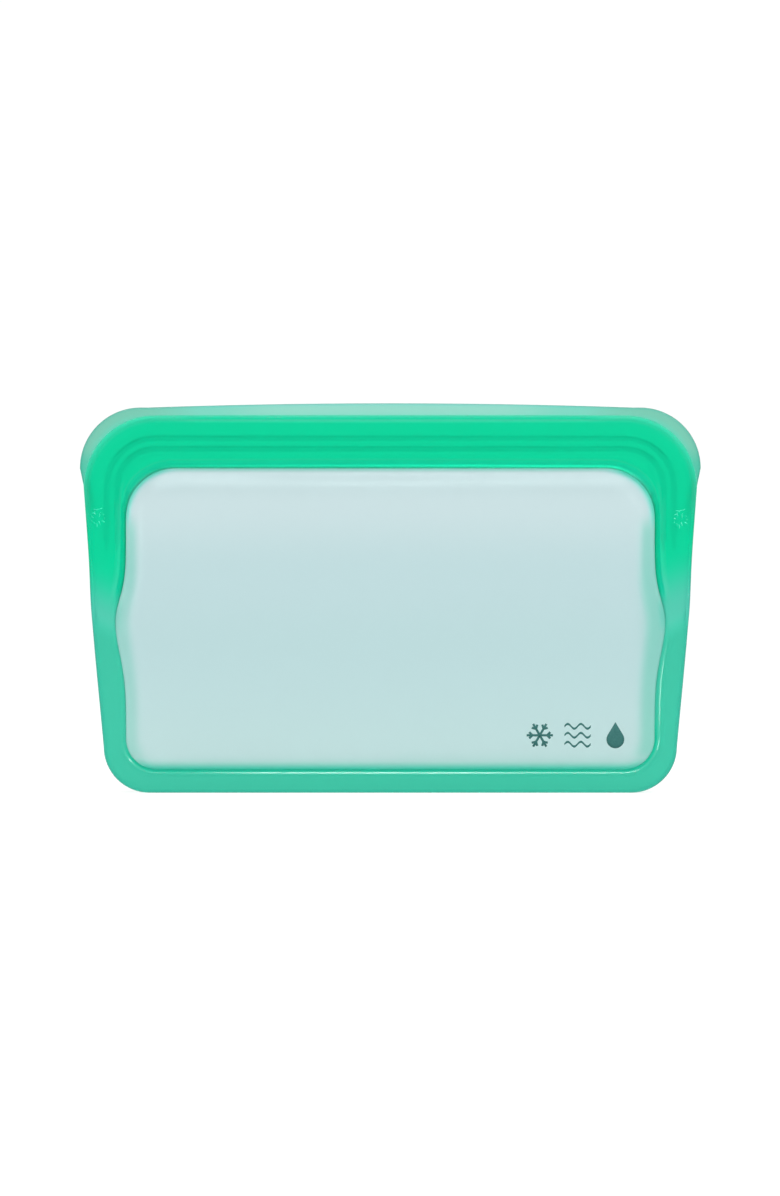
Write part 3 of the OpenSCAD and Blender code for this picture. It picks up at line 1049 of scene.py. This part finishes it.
def print_ink():
    material, nodes, links, shader = new_material("print_ink")
    set_inputs(shader, {"Roughness": INK_ROUGHNESS, "Specular IOR Level": INK_SPECULAR})
    speckle = noise_texture(nodes, *SPECKLE_NOISE)
    where = add(nodes, "ShaderNodeTexCoord").outputs["Object"]
    links.new(where, speckle.inputs["Vector"])
    links.new(ramp(nodes, links, speckle.outputs["Fac"], INK_TINTS), shader.inputs["Base Color"])
    return material


# ---------------------------------------------------------------- build the bag
green_front = green_silicone("green_silicone_front", FRONT_LIP_TINT)
green_rear = green_silicone("green_silicone_rear", REAR_LIP_TINT)
seal_front = seal_silicone("green_silicone_ribs", RIB_TINT)
seal_rear = seal_silicone("green_silicone_rails", RAIL_TINT)
clear = clear_silicone()
ink = print_ink()
flecked = fleck_silicone("green_silicone_flecks", FLECK_TINTS[0])
flecked_faint = fleck_silicone("green_silicone_faint_flecks", FLECK_TINTS[1])

front_frame = build_half_frame("green_frame_front", FRONT_EDGE, -1, 0, green_front)
rear_frame = build_half_frame("green_frame_rear", REAR_EDGE, 1, REAR_BOW, green_rear)
front_panel, front_skin = build_panel("clear_panel_front", -1, clear)
rear_panel = build_panel("clear_panel_rear", 1, clear)[0]


def bends(piece):
    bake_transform(piece)


bends(front_frame)
bends(front_panel)
bends(rear_frame)
bends(rear_panel)
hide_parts("bottom_seam", "left_side_seam", "right_side_seam",
            "left_mouth_corner", "right_mouth_corner", "front_lip")
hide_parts("rear_lip")
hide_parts("front_panel_lower", "front_panel_upper")
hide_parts("rear_panel_lower", "rear_panel_upper")

for number, node in enumerate(("upper_seal_rib", "lower_seal_rib")):
    rib = build_seal_strip(node + "_moulded", UPPER_RIB_IN + number * SEAL_PITCH, RIB_WIDTH, -1, seal_front)
    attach(rib, "front_wall")
    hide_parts(node)
for number, node in enumerate(("outer_seal_rail", "middle_seal_rail", "inner_seal_rail")):
    inset = UPPER_RIB_IN + (number - 0.5) * SEAL_PITCH
    rail = build_seal_strip(node + "_moulded", inset, RAIL_WIDTH, 1, seal_rear)
    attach(rail, "rear_wall")
    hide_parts(node)

lip_skin = BVHTree.FromPolygons([v.co for v in front_frame.data.vertices],
                                [tuple(face.vertices) for face in front_frame.data.polygons])
for name, place, scale, surface in (("lip_flecks_right", FLECKS_RIGHT, 1.0, flecked),
                                    ("lip_flecks_left", FLECKS_LEFT, FLECKS_LEFT_SCALE, flecked_faint)):
    flecks = build_flecks(name, place, scale, lip_skin, surface)
    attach(flecks, "front_wall")

marks = build_care_marks("care_marks_print", front_skin, ink)
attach(marks, "pouch")
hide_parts("care_marks")

# ---------------------------------------------------------------- floor, light, camera
FLOOR_RADIUS = 6.0
FLOOR_SIDES = 96
FLOOR_GREY = 0.3
FLOOR_GLOW = 0.74
FLOOR_ROUGHNESS = 0.9
WORLD_LIGHT = 1.03

# soft boxes: name, place, width, height, radiance
LAMPS = (("top_strip", (0, -0.7, 0.95), 1.2, 0.12, 18),
         ("corner_box", (0.58, -0.69, 0.57), 0.18, 0.18, 12),
         ("right_strip", (0.89, -0.75, 0.12), 0.08, 0.5, 10),
         ("left_strip", (-0.70, -0.6, 0.1), 0.07, 0.5, 10),
         ("rear_strip", (0.3, 0.9, 0.8), 0.8, 0.1, 3))

LENS = 100
SENSOR = 36
PICTURE_HEIGHT = 0.3654      # height of the picture at the bag, metres
CAMERA_X = -0.1 * MM
CAMERA_Z = 59.4 * MM


def build_floor():
    bm = bmesh.new()
    bmesh.ops.create_circle(bm, cap_ends=True, segments=FLOOR_SIDES, radius=FLOOR_RADIUS)
    mesh = bpy.data.meshes.new("floor")
    bm.to_mesh(mesh)
    bm.free()
    floor = bpy.data.objects.new("floor", mesh)
    bpy.context.collection.objects.link(floor)
    material, nodes, links, shader = new_material("pale_floor")
    set_inputs(shader, {"Base Color": (FLOOR_GREY, FLOOR_GREY, FLOOR_GREY, 1), "Emission Color": (*WHITE, 1),
                        "Emission Strength": FLOOR_GLOW, "Roughness": FLOOR_ROUGHNESS,
                        "Specular IOR Level": 0.0})
    mesh.materials.append(material)


def softbox(name, place, target, width, height, radiance):
    light = bpy.data.lights.new(name, "AREA")
    light.shape = "RECTANGLE"
    light.size = width
    light.size_y = height
    light.energy = radiance * math.pi * width * height
    lamp = bpy.data.objects.new(name, light)
    lamp.location = place
    lamp.rotation_mode = "QUATERNION"
    lamp.rotation_quaternion = (Vector(target) - Vector(place)).to_track_quat("-Z", "Y")
    bpy.context.collection.objects.link(lamp)


def studio():
    world = bpy.data.worlds.new("studio")
    world.use_nodes = True
    set_inputs(world.node_tree.nodes["Background"], {"Color": (*WHITE, 1), "Strength": WORLD_LIGHT})
    bpy.context.scene.world = world
    middle = (0, 0, HEIGHT / 2)
    for name, place, width, height, radiance in LAMPS:
        softbox(name, place, middle, width, height, radiance)


def photo_camera():
    """Straight on, level with the middle of the bag."""
    data = bpy.data.cameras.new("camera")
    data.lens = LENS
    data.sensor_width = SENSOR
    camera = bpy.data.objects.new("camera", data)
    camera.location = (CAMERA_X, -PICTURE_HEIGHT * LENS / SENSOR, CAMERA_Z)
    camera.rotation_euler = (math.radians(90), 0, 0)
    bpy.context.collection.objects.link(camera)
    bpy.context.scene.camera = camera


build_floor()
studio()
photo_camera()
bpy.context.scene.view_settings.view_transform = "Standard"
